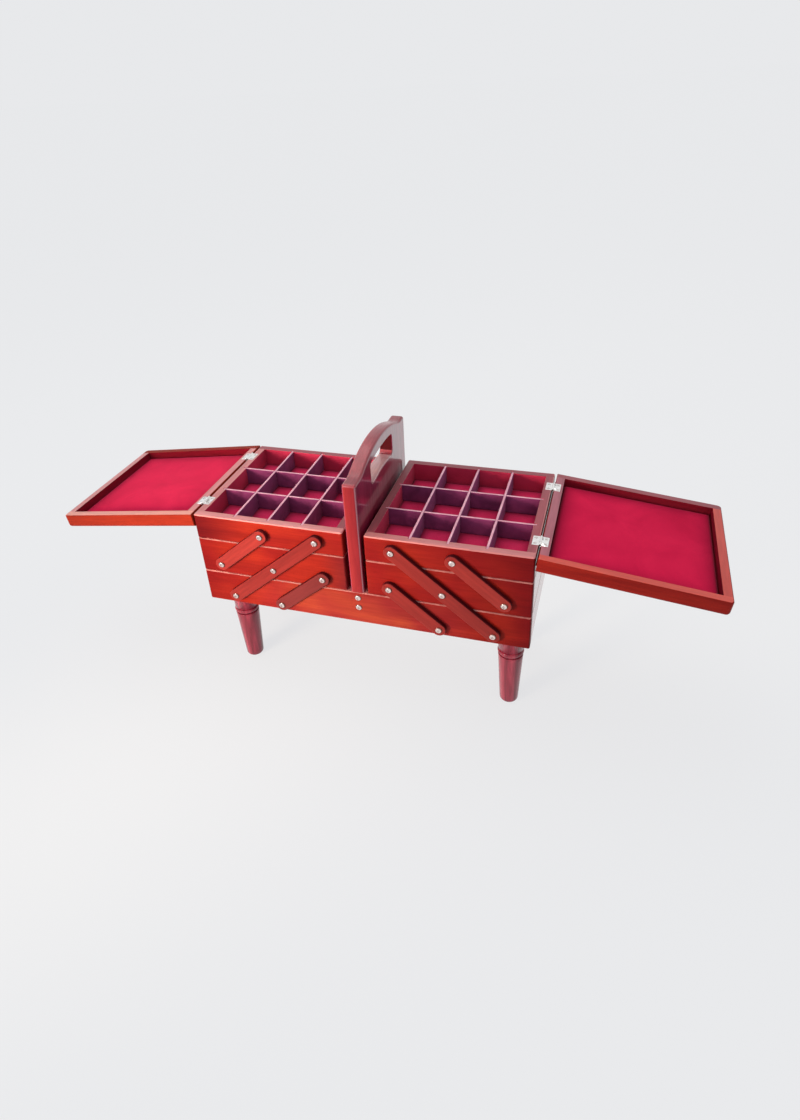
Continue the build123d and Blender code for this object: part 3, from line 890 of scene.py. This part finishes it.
def addRestBead(side):
    railLow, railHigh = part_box(f"{side}_lid_rails")
    length = railHigh.y - railLow.y - 2 * restBead["endGap"]
    thickness = restBead["thickness"][side]
    depth = thickness + restBead["bedded"]
    bpy.ops.object.select_all(action="DESELECT")
    bpy.ops.mesh.primitive_cube_add(size=1)
    bead = bpy.context.object
    bead.name = f"{side}LidRestBead"
    bead.data.transform(Matrix.Diagonal((depth, length, restBead["height"], 1)))
    middle = sides[side] * (restBead["pinToRail"] - thickness + depth / 2)
    bead.data.transform(Matrix.Translation((middle, 0, -restBead["depth"])))
    applyModifier(bead, "BEVEL", width=restBead["round"], segments=3, limit_method="ANGLE",
                  angle_limit=math.radians(restBead["roundAngle"]))
    bead.data.transform(Matrix.Translation(hingeLine(side)) @ lidTilt(side))
    smoothByAngle(bead)
    bead.data.materials.append(finishes[lidStains[side][1]])
    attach(bead, f"{side}_lid")


for side in sides:
    addRestBead(side)
print("rest beads added")


hingeScrew = {
    "facets": 28,
    "sink": 0.00170,                  # radius of the countersunk hole
    "radius": 0.00138,
    "ring": 0.00003,                  # metres above the leaf
    "proud": 0.00012,                 # low enough for the leaves to close
    "edgeRound": 0.00006,
    "slotLength": 1.2,                # of the head's radius
    "slotWidth": 0.00042,
    "slotFloor": 0.00005,
    "darkBelow": 0.00006,
    "cutterHeight": 0.001,
    "smoothAngle": 30.0,
    "fromPin": 0.0056,                # across the leaf
    "fromHingeEnd": 0.00875,          # the middle of a hinge
    "apart": 0.0104,
    "turnStep": 0.7,                  # radians from one head's slots to the next
}


def cutSlots(head):
    for turn in (0, 90):
        middle = hingeScrew["slotFloor"] + hingeScrew["cutterHeight"] / 2
        bpy.ops.mesh.primitive_cube_add(size=1, location=(0, 0, middle))
        cutter = bpy.context.object
        cutter.scale = (hingeScrew["radius"] * hingeScrew["slotLength"], hingeScrew["slotWidth"],
                        hingeScrew["cutterHeight"])
        cutter.rotation_euler = (0, 0, math.radians(turn))
        bpy.context.view_layer.update()
        applyModifier(head, "BOOLEAN", object=cutter, operation="DIFFERENCE", solver="EXACT")
        bpy.data.objects.remove(cutter)


def modelHingeScrew():
    bpy.ops.object.select_all(action="DESELECT")
    bpy.ops.mesh.primitive_cylinder_add(vertices=hingeScrew["facets"], radius=hingeScrew["sink"],
                                        depth=2 * hingeScrew["ring"])
    head = bpy.context.object
    head.name = "hingeScrewHead"
    bpy.ops.object.mode_set(mode="EDIT")
    bpy.ops.mesh.select_all(action="DESELECT")
    bpy.ops.object.mode_set(mode="OBJECT")
    for face in head.data.polygons:
        face.select = face.normal.z > 0.9
    bpy.ops.object.mode_set(mode="EDIT")
    bpy.ops.mesh.inset(thickness=hingeScrew["sink"] - hingeScrew["radius"])
    rise = (0, 0, hingeScrew["proud"] - hingeScrew["ring"])
    bpy.ops.mesh.extrude_region_move(TRANSFORM_OT_translate={"value": rise})
    bpy.ops.mesh.bevel(offset=hingeScrew["edgeRound"], segments=2, affect="EDGES")
    bpy.ops.object.mode_set(mode="OBJECT")
    cutSlots(head)
    head.data.materials.clear()
    head.data.materials.append(finishes["brightNickel"])
    head.data.materials.append(finishes["darkRing"])
    for face in head.data.polygons:   # the ring around the head and the floor of its slots get painted shade
        face.material_index = 1 if face.center.z < hingeScrew["darkBelow"] else 0
    selectOnly(head)
    bpy.ops.object.shade_smooth_by_angle(angle=math.radians(hingeScrew["smoothAngle"]))
    return head


def placeHingeScrews():
    model = modelHingeScrew()
    for side, direction in sides.items():
        low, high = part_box(f"{side}_hinge_tray_leaves")
        hingeY = (high.y - low.y) / 2 - hingeScrew["fromHingeEnd"]
        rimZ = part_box(f"{side}_top_tray_end_walls")[1].z
        pin = hingeLine(side)
        tilt = Matrix.Translation(pin) @ lidTilt(side) @ Matrix.Translation(-pin)
        halfGap = hingeScrew["apart"] / 2
        rows = [middle + shift for middle in (-hingeY, hingeY) for shift in (-halfGap, halfGap)]
        leaves = ((f"{side}_top_tray", -1, Matrix.Identity(4)), (f"{side}_lid", 1, tilt))
        spots = [(leaf, y) for leaf in leaves for y in rows]
        for number, ((body, outward, turned), y) in enumerate(spots, start=1):
            screw = bpy.data.objects.new(f"{side}HingeScrew{number}", model.data.copy())
            bpy.context.scene.collection.objects.link(screw)
            x = pin.x + direction * outward * hingeScrew["fromPin"]
            spin = Matrix.Rotation(hingeScrew["turnStep"] * number, 4, "Z")
            screw.data.transform(turned @ Matrix.Translation(Vector((x, y, rimZ))) @ spin)
            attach(screw, body)
    bpy.data.objects.remove(model)


placeHingeScrews()
print("hinge screws placed")
